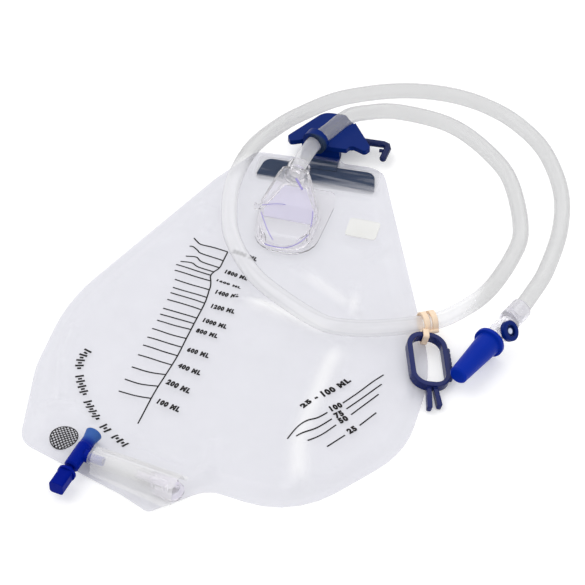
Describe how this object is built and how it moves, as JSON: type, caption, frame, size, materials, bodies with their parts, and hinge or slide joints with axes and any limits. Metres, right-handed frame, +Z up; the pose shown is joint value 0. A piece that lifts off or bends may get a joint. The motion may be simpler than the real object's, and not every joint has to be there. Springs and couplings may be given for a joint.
{
  "type": "urine drainage bag",
  "caption": "Flat film drainage bag with a moulded hanger and bed hook, drip chamber, looped drain tube with capped connector, sheet clip and push-pull outlet tap.",
  "frame": {"origin": "on the table under the middle of the box round the bag, hanger and tap, without the drain tube and what is on it", "axes": "+X across the bag to the right as its scale is read, +Y up the bag towards the hanger, +Z up from the table"},
  "size_m": [0.2728, 0.3896, 0.0236],
  "materials": {
    "clear_film": "milky translucent vinyl film",
    "clear_hose": "clear soft vinyl hose",
    "lavender_plastic": "clear rigid plastic with a lavender tint",
    "soft_flap": "soft clear film",
    "clear_plastic": "clear rigid plastic",
    "navy_plastic": "moulded navy plastic",
    "dark_navy_plastic": "moulded dark navy plastic",
    "royal_blue_plastic": "moulded royal blue plastic",
    "tap_blue": "moulded blue plastic",
    "filter_white": "matt off-white",
    "black_rubber": "black rubber",
    "beige_rubber": "natural rubber"
  },
  "bodies": {
    "bag": {"back_film": "clear_film", "front_film": "clear_film", "hanger_plate": "navy_plastic", "chamber_base": "lavender_plastic", "chamber_body": "lavender_plastic", "reflux_flap": "soft_flap", "vent_filter": "filter_white", "outlet_port": "lavender_plastic", "outlet_tube": "clear_hose", "outlet_sleeve": "clear_film", "tap_body": "tap_blue", "drain_tube": "clear_hose", "connector_body": "clear_plastic", "port_ring": "navy_plastic", "port_septum": "filter_white", "rubber_band": "beige_rubber", "sheet_clip": "navy_plastic"},
    "hook": {"bed_hook": "dark_navy_plastic"},
    "plunger": {"tap_plunger": "royal_blue_plastic", "tap_seal": "black_rubber"},
    "cap": {"connector_cap": "royal_blue_plastic"}
  },
  "joints": [
    {"name": "bed_hook_hinge", "type": "hinge", "parent": "bag", "child": "hook", "pos_m": [0.01586, 0.15418, 0.0065], "axis": [-0.0576, 0.9983, 0], "range_deg": [0, 90]},
    {"name": "tap_plunger_slide", "type": "slide", "parent": "bag", "child": "plunger", "axis": [-0.1564, -0.9877, 0], "range_m": [-0.003, 0.004]},
    {"name": "connector_cap_slide", "type": "slide", "parent": "bag", "child": "cap", "axis": [-0.3164, -0.9457, 0.075], "range_m": [0, 0.04]}
  ]
}
